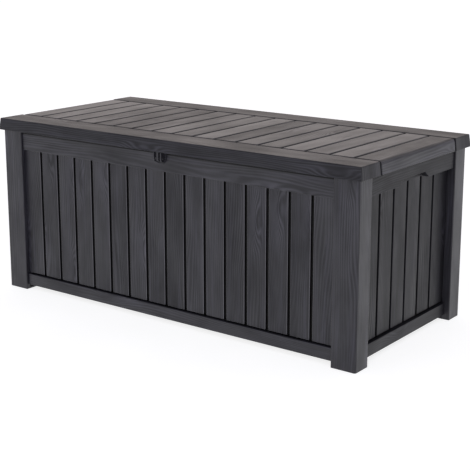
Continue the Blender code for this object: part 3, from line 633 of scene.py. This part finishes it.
def stand_wall(mesh, name, degrees, boards, node, tone_and_shade):
    """Turns a wall to its side of the box, gives it grain, a tone that can paint that side's
    shade, and thickness, and publishes it.
    """
    bmesh.ops.rotate(mesh, cent=(0, 0, 0), verts=mesh.verts,
                     matrix=Matrix.Rotation(math.radians(degrees), 3, "Z"))
    turned = math.radians(degrees)
    face_outwards(mesh, (math.sin(turned), -math.cos(turned), 0))
    lay_grain(mesh, boards, tone_and_shade)
    piece = publish(name, mesh, resin(), "box", [node], closed=False)
    wall = piece.modifiers.new("wall", "SOLIDIFY")
    wall.thickness = bpy.context.scene.deck_sizes.wall
    wall.offset = -1.0
    wall.use_even_offset = True
    # the normals are weighted last
    piece.modifiers.move(1, 0)


class DECKBOX_OT_long_walls(bpy.types.Operator):
    """Front and back walls of upright planks"""
    bl_idname = "deckbox.long_walls"
    bl_label = "Long walls"

    def execute(self, context):
        sizes = context.scene.deck_sizes
        half = POST_INNER_X - GAP
        pitch = 2 * half / sizes.long_planks
        places = groove_places(sizes.long_planks, pitch)
        flange = FRONT_HIGH.y + BODY_Y - LONG_WALL_DEPTHS[0]
        for name, degrees, seed in (("front", 0, 0), ("back", 180, 200)):
            mesh = plank_wall(half, BODY_Y, LONG_WALL_DEPTHS, sizes.front_rail, places,
                              flange)
            stand_wall(mesh, f"{name}_wall", degrees,
                       wall_boards(sizes.front_rail, pitch, seed, 0), f"{name}_panel",
                       0.55)
        return {"FINISHED"}


def hand_grip(mesh, rail_face, plank_face):
    """Sinks a finger pocket into a wall's top rail, behind a tapered notch."""
    sizes = bpy.context.scene.deck_sizes
    low, high = sizes.side_rail, sizes.side_rail + GRIP_TALL

    def on_rail(item):
        return middle_of(item).z > low and abs(middle_of(item).y - rail_face) < LEVEL

    cut(mesh, 2, (high,), on_rail)
    for side in (-1, 1):
        corner = Vector((side * GRIP_WIDE, rail_face, low))
        slope = Vector((side * (GRIP_NARROW - GRIP_WIDE), 0, high - low))
        faces = [item for item in mesh.faces if on_rail(item) and middle_of(item).z < high]
        slit(mesh, faces, corner, slope.cross(Vector((0, 1, 0))))

    def in_notch(item):
        at = middle_of(item)
        reach = GRIP_WIDE + (GRIP_NARROW - GRIP_WIDE) * (at.z - low) / (high - low)
        return on_rail(item) and at.z < high and abs(at.x) < reach

    def level(height, nearest):
        return [item for item in mesh.faces
                if abs(middle_of(item).z - height) < LEVEL
                and nearest < middle_of(item).y < plank_face
                and abs(middle_of(item).x) < GRIP_WIDE]

    push(mesh, in_notch, (0, plank_face - rail_face, 0))
    bmesh.ops.remove_doubles(mesh, verts=mesh.verts, dist=MERGE)
    cut(mesh, 0, (-GRIP_WIDE, GRIP_WIDE), lambda item: abs(middle_of(item).z - low) < LEVEL)
    bmesh.ops.delete(mesh, geom=level(low, rail_face), context="FACES")
    # a cut where the pocket's painted shade fades out
    cut(mesh, 2, (high - SHADE_STRIP,), lambda item: low < middle_of(item).z < high
        and abs(middle_of(item).y - plank_face) < LEVEL)
    lip = rail_face + sizes.wall + GRIP_LIP
    ceiling = set(level(high, rail_face))
    cut(mesh, 1, (lip,), lambda item: item in ceiling)
    roof = set(level(high, lip))
    push(mesh, lambda item: item in roof, (0, 0, GRIP_POCKET - GRIP_TALL))


class DECKBOX_OT_end_walls(bpy.types.Operator):
    """End walls of upright planks, with a hand grip under the top rail"""
    bl_idname = "deckbox.end_walls"
    bl_label = "End walls"

    def execute(self, context):
        sizes = context.scene.deck_sizes
        half = POST_INNER_Y - GAP
        places = groove_places(sizes.side_planks, sizes.side_pitch)
        flange = BODY_X - SIDE_LOW.x - END_WALL_DEPTHS[0]
        for name, degrees, seed in (("right", 90, 400), ("left", 270, 600)):
            mesh = plank_wall(half, BODY_X, END_WALL_DEPTHS, sizes.side_rail, places,
                              flange, hand_grip)
            # tone 0.0, below the long walls' 0.55, paints the end walls darker as painted
            # shade of those sides
            stand_wall(mesh, f"{name}_end_wall", degrees,
                       wall_boards(sizes.side_rail, sizes.side_pitch, seed, 1),
                       f"{name}_side_panel", 0.0)
        return {"FINISHED"}


class DECKBOX_OT_posts(bpy.types.Operator):
    """Four hollow corner posts"""
    bl_idname = "deckbox.posts"
    bl_label = "Corner posts"

    def execute(self, context):
        wall = context.scene.deck_sizes.wall
        places = [(a, b, sx, sy) for a, sy in (("front", -1), ("back", 1))
                  for b, sx in (("left", -1), ("right", 1))]
        for number, (front, side, sx, sy) in enumerate(places):
            mesh = bmesh.new()
            block(mesh, (POST_INNER_X, -BODY_Y, 0), (BODY_X, -POST_INNER_Y, RIM))

            def upright(edge, x, y):
                return all(abs(v.co.x - x) < 0.001 and abs(v.co.y - y) < 0.001
                           for v in edge.verts)

            def bevel_upright(x, y, radius, segments):
                edges = [e for e in mesh.edges if upright(e, x, y)]
                bmesh.ops.bevel(mesh, geom=edges, offset=radius, segments=segments,
                                profile=0.5, affect="EDGES", material=-1)

            bevel_upright(BODY_X, -BODY_Y, POST_CORNER, 5)
            bevel_upright(POST_INNER_X, -BODY_Y, POST_SIDE_EDGE, 3)
            bevel_upright(BODY_X, -POST_INNER_Y, POST_SIDE_EDGE, 3)
            # the hollow opens towards the box, behind the planks of both walls
            plank_x, plank_y = BODY_X - END_WALL_DEPTHS[0], -BODY_Y + LONG_WALL_DEPTHS[0]
            open_x, open_y = POST_INNER_X - POST_OPENING, -POST_INNER_Y + POST_OPENING
            left, right = POST_INNER_X + wall, BODY_X - wall
            front_side, back_side = -BODY_Y + wall, -POST_INNER_Y - wall
            inner = [(open_x, plank_y), (left, plank_y), (left, front_side),
                     (right, front_side), (right, back_side), (plank_x, back_side),
                     (plank_x, open_y), (open_x, open_y)]
            pocket = bmesh.new()
            outline_prism(pocket, [(x, y, POST_SOLE) for x, y in inner],
                          (0, 0, RIM - POST_SOLE - POST_CAP))
            mesh = carve(mesh, pocket)
            round_edges(mesh, POST_EDGE, 2)
            bmesh.ops.scale(mesh, verts=mesh.verts, vec=(sx, -sy, 1))
            bmesh.ops.recalc_face_normals(mesh, faces=mesh.faces)
            lay_grain(mesh, lambda centre, normal, n=number: (2, 800 + n * 3), 0.66, 0.0)
            mark_painted_light(mesh, lambda at: 0.0)
            publish(f"{front}_{side}_corner", mesh, resin(), "box",
                    [f"{front}_{side}_post"])
        return {"FINISHED"}


# ---------------------------------------------------------------- lid
class DECKBOX_OT_lid(bpy.types.Operator):
    """Lid top with planks, end-to-end rails and a flared skirt"""
    bl_idname = "deckbox.lid"
    bl_label = "Lid"

    def execute(self, context):
        sizes = context.scene.deck_sizes
        low, high = LID_LOW.z, LID_HIGH.z
        wide, deep = LID_HIGH.x, LID_HIGH.y
        rails = LID_RAILS
        half = sizes.lid_groove / 2
        depth = sizes.lid_groove_depth
        mesh = bmesh.new()
        block(mesh, (-wide, -deep, low), (wide, deep, high))
        for vert in mesh.verts:
            if vert.co.z > high - GAP:
                vert.co.x *= (wide - LID_FLARE) / wide
                vert.co.y *= (deep - LID_FLARE) / deep
        bmesh.ops.delete(mesh, geom=[f for f in mesh.faces if f.normal.z < -0.5],
                         context="FACES")
        cut(mesh, 1, [y + side * half for y in rails for side in (-1, 1)])
        places = groove_places(sizes.lid_planks, sizes.lid_pitch)

        def on_deck(face):
            at = middle_of(face)
            return rails[0] + half < at.y < rails[1] - half and at.z > high - GAP

        cut(mesh, 0, [x + side * half for x in places for side in (-1, 1)], on_deck)

        def in_groove(face):
            at = middle_of(face)
            return (min(abs(at.y - y) for y in rails) < half
                    or on_deck(face) and min(abs(at.x - x) for x in places) < half)

        grooves = [face for face in mesh.faces if in_groove(face)]
        bmesh.ops.inset_region(mesh, faces=grooves, thickness=0.0002, depth=-depth,
                               use_even_offset=True, use_boundary=False)

        def skirt(reach, z):
            """Where the skirt's leaning face stands at a height."""
            return reach - LID_FLARE * (z - low) / (high - low)

        # painted shade in the lid's grooves and in the rails' grooves down the skirt's ends,
        # darker the deeper
        def painted_light_at(at):
            inset = 0.03
            if abs(at.x) > wide - inset and min(abs(at.y - y) for y in rails) < 2 * half:
                return (skirt(wide, at.z) - abs(at.x)) / depth
            if abs(at.x) < wide - inset and abs(at.y) < deep - inset:
                return (high - at.z) / depth
            return 0.0
        mark_painted_light(mesh, painted_light_at)

        # the skirt's inner face, and a closed ceiling over the liner
        rim = [e for e in mesh.edges if e.is_boundary]
        inner_x, inner_y = wide - LID_END_WALL, deep - LID_SIDE_WALL

        def turn_in(edges, z, shrink):
            made = bmesh.ops.extrude_edge_only(mesh, edges=edges)["geom"]
            for item in made:
                if isinstance(item, bmesh.types.BMVert):
                    item.co.x = max(-inner_x + shrink, min(inner_x - shrink, item.co.x))
                    item.co.y = max(-inner_y + shrink, min(inner_y - shrink, item.co.y))
                    item.co.z = z
            return [item for item in made if isinstance(item, bmesh.types.BMEdge)
                    and item.is_boundary]

        rim = turn_in(rim, low, 0.0)
        rim = turn_in(rim, high - depth - LID_CEILING, 0.0006)
        bmesh.ops.edgeloop_fill(mesh, edges=rim)
        bmesh.ops.remove_doubles(mesh, verts=mesh.verts, dist=MERGE)
        bmesh.ops.recalc_face_normals(mesh, faces=mesh.faces)
        for hinge in (1, 2, 3, 4):
            base_low, base_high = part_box(f"hinge_base_{hinge}")
            beside, above, past = 0.002, 0.004, 0.01
            notch = bmesh.new()
            block(notch, (base_low.x - beside, base_low.y + LID_SIDE_WALL, low - past),
                  (base_high.x + beside, deep + past, base_high.z + above))
            mesh = carve(mesh, notch)

        # how far each edge is rounded, as a share of the largest radius
        sharp, near = 0.9, 0.0006
        weight = mesh.edges.layers.float.new("bevel_weight_edge")
        for edge in mesh.edges:
            if not edge.is_manifold or edge.calc_face_angle(0.0) < sharp:
                continue
            first, second = (vert.co for vert in edge.verts)
            at = (first + second) / 2
            outer_x = abs(abs(at.x) - skirt(wide, at.z)) < near
            outer_y = abs(abs(at.y) - skirt(deep, at.z)) < near
            top = at.z > high - 3 * LEVEL
            by_rail = min(abs(at.y - y) for y in rails) < half + 0.0004
            radius = 0.0
            if top and outer_x:
                radius = (sizes.lid_end if rails[0] < at.y < rails[1] else sizes.lid_corner)
            elif top and outer_y or outer_x and outer_y:
                radius = sizes.lid_corner
            elif top:
                radius = sizes.lid_edge
            elif outer_x and by_rail and abs(first.z - second.z) > 0.01:
                radius = sizes.lid_edge * 0.6
            elif at.z < low + GAP and (outer_x or outer_y):
                radius = LID_FOOT_EDGE
            edge[weight] = radius / sizes.lid_end

        def board_of(centre, normal):
            if centre.y < rails[0]:
                return 0, 1000
            if centre.y > rails[1]:
                return 0, 1001
            return 1, 1010 + int(math.floor(centre.x / sizes.lid_pitch + 50.5))
        lay_grain(mesh, board_of, 0.55, 0.85)
        piece = publish("lid_top", mesh, resin(), "lid", ["lid_shell"])
        rounding = piece.modifiers.new("rounding", "BEVEL")
        rounding.width = sizes.lid_end
        rounding.segments = 4
        rounding.limit_method = "WEIGHT"
        rounding.use_clamp_overlap = False
        piece.modifiers.move(1, 0)
        return {"FINISHED"}


class DECKBOX_OT_liner(bpy.types.Operator):
    """Ribbed underside of the lid"""
    bl_idname = "deckbox.liner"
    bl_label = "Lid liner"

    def execute(self, context):
        rib, rim = LINER_RIB, LINER_RIM_WIDE
        under = LINER_LOW.z + 0.010
        mesh = bmesh.new()
        block(mesh, (LINER_LOW.x, LINER_LOW.y, under),
              (LINER_HIGH.x, LINER_HIGH.y, under + LINER_SHEET))
        for axis, middles, end in ((0, LINER_ACROSS, LINER_RIB_X),
                                   (1, LINER_ALONG, LINER_RIB_Y)):
            cut(mesh, axis, [middle + side * rib for middle in middles for side in (-1, 1)]
                + [-end, end])
        for axis in (0, 1):
            cut(mesh, axis, [LINER_LOW[axis] + rim, LINER_HIGH[axis] - rim])

        def under_rib(face):
            at = middle_of(face)
            if face.normal.z > -0.5 or abs(at.x) > LINER_RIB_X or abs(at.y) > LINER_RIB_Y:
                return False
            return (min(abs(at.x - x) for x in LINER_ACROSS) < rib
                    or min(abs(at.y - y) for y in LINER_ALONG) < rib)

        def on_rim(face):
            at = middle_of(face)
            return face.normal.z > 0.5 and (abs(at.x) > LINER_HIGH.x - rim
                                            or abs(at.y) > LINER_HIGH.y - rim)

        push(mesh, under_rib, (0, 0, -LINER_RIB_DEPTH))
        push(mesh, on_rim, (0, 0, LINER_RIM))
        bmesh.ops.dissolve_limit(mesh, angle_limit=0.01, verts=mesh.verts, edges=mesh.edges)
        round_edges(mesh, 0.0008, 2)
        inner = shared("inner_resin", plain_resin, tuple(context.scene.deck_colours.inner))
        publish("lid_underside", mesh, inner, "lid", ["lid_liner"])
        return {"FINISHED"}


# ---------------------------------------------------------------- latch
class DECKBOX_OT_latch(bpy.types.Operator):
    """Padlock ears on the front rail, and the lid's tongue between them"""
    bl_idname = "deckbox.latch"
    bl_label = "Padlock latch"

    def finish(self, mesh, middle, edge, grain, name, body, node):
        """Drills the padlock's hole, rounds the edges and publishes one half."""
        bore = bmesh.new()
        rod(bore, (middle - LATCH_DRILL, LATCH_Y, LATCH_Z),
            (middle + LATCH_DRILL, LATCH_Y, LATCH_Z), LATCH_HOLE, 32)
        mesh = carve(mesh, bore)
        round_edges(mesh, edge, 2)
        mesh.normal_update()
        lay_grain(mesh, lambda centre, normal: grain, 0.5, 0.0)
        mark_painted_light(mesh, lambda at: 0.0)
        publish(name, mesh, resin(), body, [node])

    def ears(self, middle):
        """A round-footed plate on the rail, with two pierced ears."""
        face, top = KEEPER_HIGH.y, KEEPER_HIGH.z
        radius = (KEEPER_HIGH.x - KEEPER_LOW.x) / 2
        plate, rim, sink = 0.003, 0.003, 0.0016
        ear_x, ear_thick, ear_reach, ear_radius = 0.0125, 0.0055, 0.018, 0.0072
        mesh = bmesh.new()
        outline = [(middle - radius, top)]
        outline += arc((middle, top - 0.013), radius, 200, 340, 28)
        outline += [(middle + radius, top)]
        outline_prism(mesh, [(x, face, z) for x, z in outline], (0, -plate, 0))
        front = [f for f in mesh.faces if f.normal.y < -0.9]
        bmesh.ops.inset_region(mesh, faces=front, thickness=rim, depth=0.0)
        # the rim's own faces are smaller than this area
        front = [f for f in mesh.faces if f.normal.y < -0.9 and f.calc_area() > 0.0006]
        bmesh.ops.inset_region(mesh, faces=front, thickness=0.001, depth=-sink)
        root, under = face - 0.0012, top - 0.0005
        ear = [(root, under), (face - ear_reach, under)]
        ear += arc((LATCH_Y, LATCH_Z), ear_radius, 180, 270, 10)
        ear += [(root, LATCH_Z - 0.0125)]
        for side in (-1, 1):
            fin = bmesh.new()
            outline_prism(fin, [(middle + side * ear_x, y, z) for y, z in ear],
                          (side * ear_thick, 0, 0))
            mesh = carve(mesh, fin, "UNION")
        self.finish(mesh, middle, 0.0009, (0, 1200), "latch_ears", "box", "latch_keeper")

    def hasp(self, middle):
        """A tongue that hangs from the lid between the ears, on a root inside the skirt."""
        back, under = TONGUE_HIGH.y, LID_LOW.z - 0.0006
        half, radius, reach = 0.005, 0.0068, 0.0135
        root_half, root_thick = 0.020, 0.0065
        mesh = bmesh.new()
        foot = [(back, under), (back - reach, under)]
        foot += arc((LATCH_Y, LATCH_Z), radius, 180, 270, 10)
        foot += [(back, LATCH_Z - radius)]
        outline_prism(mesh, [(middle - half, y, z) for y, z in foot], (2 * half, 0, 0))
        root = bmesh.new()
        block(root, (middle - root_half, back - root_thick, LID_LOW.z + 0.002),
              (middle + root_half, back, TONGUE_HIGH.z))
        mesh = carve(mesh, root, "UNION")
        # the neck stays just inside both, so that no faces coincide
        inside = 0.0001
        neck = bmesh.new()
        block(neck, (middle - half + inside, back - root_thick + inside, LID_LOW.z - 0.003),
              (middle + half - inside, back - inside, LID_LOW.z + 0.004))
        mesh = carve(mesh, neck, "UNION")
        self.finish(mesh, middle, 0.0008, (2, 1201), "latch_hasp", "lid", "latch_tongue")

    def execute(self, context):
        middle = (KEEPER_LOW.x + KEEPER_HIGH.x) / 2 - LATCH_LEFT
        self.ears(middle)
        self.hasp(middle)
        return {"FINISHED"}


# ---------------------------------------------------------------- carried-over metal
class DECKBOX_OT_hardware(bpy.types.Operator):
    """Finishes for the floor, hinges and gas struts"""
    bl_idname = "deckbox.hardware"
    bl_label = "Hardware finishes"

    def execute(self, context):
        hues = context.scene.deck_colours
        finishes = {
            "zinc_steel": metal("zinc_plate", tuple(hues.zinc), 0.34),
            "polished_steel": metal("polished_steel", tuple(hues.polished), 0.16),
            "black_tube": metal("strut_paint", tuple(hues.paint), 0.30, metallic=0.0),
            "black_resin": shared("inner_resin", plain_resin, tuple(hues.inner)),
            "wall_resin": shared("latch_resin", plain_resin, tuple(hues.ridge)),
            "lid_resin": shared("latch_resin", plain_resin, tuple(hues.ridge)),
        }
        for part in frame["record"]["subparts"]:
            node = frame["nodes"][part["node"]]
            node.data.materials.clear()
            node.data.materials.append(finishes[part["material_slot"]])
        return {"FINISHED"}


# ---------------------------------------------------------------- stage
class DECKBOX_OT_stage(bpy.types.Operator):
    """Pale floor, soft light and the camera"""
    bl_idname = "deckbox.stage"
    bl_label = "Stage"

    def execute(self, context):
        scene = context.scene
        mesh = bmesh.new()
        bmesh.ops.create_grid(mesh, x_segments=1, y_segments=1, size=30.0)
        data = bpy.data.meshes.new("studio_floor")
        mesh.to_mesh(data)
        mesh.free()
        floor = bpy.data.objects.new("studio_floor", data)
        scene.collection.objects.link(floor)
        g = Graph(bpy.data.materials.new("studio_floor"))
        at = g.node("ShaderNodeTexCoord").outputs["Object"]
        mottle = g.noise(at, 3.0, 2.0).span(0.3, 0.7, 0.42, 0.45)
        pale = g.vector(mottle, mottle, mottle)
        g.shader.inputs["Emission Strength"].default_value = 0.79
        data.materials.append(g.surface(Base_Color=pale, Roughness=0.9,
                                        Emission_Color=(1.0, 1.0, 1.0, 1.0)))

        # the room is brightest towards the back left
        g = Graph(bpy.data.worlds.new("studio"), "Background")
        way = g.node("ShaderNodeTexCoord").outputs["Generated"]
        backwards = g.value("ShaderNodeVectorMath", "Value", {"operation": "DOT_PRODUCT"},
                            {0: way, 1: (-0.6, 0.8, 0.0)})
        dim, bright = (0.52, 0.52, 0.58), (0.88, 0.80, 0.77)
        scene.world = g.surface(Color=g.blend(backwards.span(0.35, 0.98), dim, bright),
                                Strength=1.0)
        scene.view_settings.view_transform = "Standard"

        softbox_data = bpy.data.lights.new("softbox", "AREA")
        softbox_data.energy = 22.0
        softbox_data.size = 0.8
        softbox = bpy.data.objects.new("softbox", softbox_data)
        scene.collection.objects.link(softbox)
        softbox.location = (1.45, -3.30, 1.55)
        softbox.rotation_mode = "QUATERNION"
        from_box = softbox.location - Vector((0, 0, 0.35))
        softbox.rotation_quaternion = from_box.to_track_quat("Z", "Y")

        camera_data = bpy.data.cameras.new("camera")
        camera = bpy.data.objects.new("camera", camera_data)
        scene.collection.objects.link(camera)
        camera_data.sensor_width = 36.0
        camera_data.lens = 88.37
        camera_data.shift_y = -0.0745
        azimuth, elevation = math.radians(36.8575), math.radians(13.0126)
        back = Vector((math.sin(azimuth) * math.cos(elevation),
                       -math.cos(azimuth) * math.cos(elevation), math.sin(elevation)))
        aim, distance = Vector((0.0281, 0.0211, 0.3736)), 4.1421
        camera.location = aim + back * distance
        camera.rotation_mode = "QUATERNION"
        camera.rotation_quaternion = (-back).to_track_quat("-Z", "Y")
        scene.camera = camera
        return {"FINISHED"}


# ---------------------------------------------------------------- add-on
class DECKBOX_PT_sidebar(bpy.types.Panel):
    """Sizes, colours and the operators that build the box"""
    bl_idname = "DECKBOX_PT_sidebar"
    bl_label = "Deck Box"
    bl_space_type = "VIEW_3D"
    bl_region_type = "UI"
    bl_category = "Deck Box"

    def draw(self, context):
        for group in (context.scene.deck_sizes, context.scene.deck_colours):
            box = self.layout.box()
            for key in group.bl_rna.properties.keys():
                if key not in {"rna_type", "name"}:
                    box.prop(group, key)
        for operator in OPERATORS:
            self.layout.operator(operator.bl_idname)


OPERATORS = (DECKBOX_OT_hardware, DECKBOX_OT_long_walls, DECKBOX_OT_end_walls,
             DECKBOX_OT_posts, DECKBOX_OT_lid, DECKBOX_OT_liner, DECKBOX_OT_latch,
             DECKBOX_OT_stage)
CLASSES = (DeckBoxSizes, DeckBoxColours, *OPERATORS, DECKBOX_PT_sidebar)


def register():
    for item in CLASSES:
        bpy.utils.register_class(item)
    bpy.types.Scene.deck_sizes = bpy.props.PointerProperty(type=DeckBoxSizes)
    bpy.types.Scene.deck_colours = bpy.props.PointerProperty(type=DeckBoxColours)


def unregister():
    del bpy.types.Scene.deck_colours
    del bpy.types.Scene.deck_sizes
    for item in reversed(CLASSES):
        bpy.utils.unregister_class(item)


def main():
    register()
    for operator in OPERATORS:
        group, action = operator.bl_idname.split(".")
        getattr(getattr(bpy.ops, group), action)()
    bpy.context.view_layer.update()


if __name__ == "__main__":
    main()
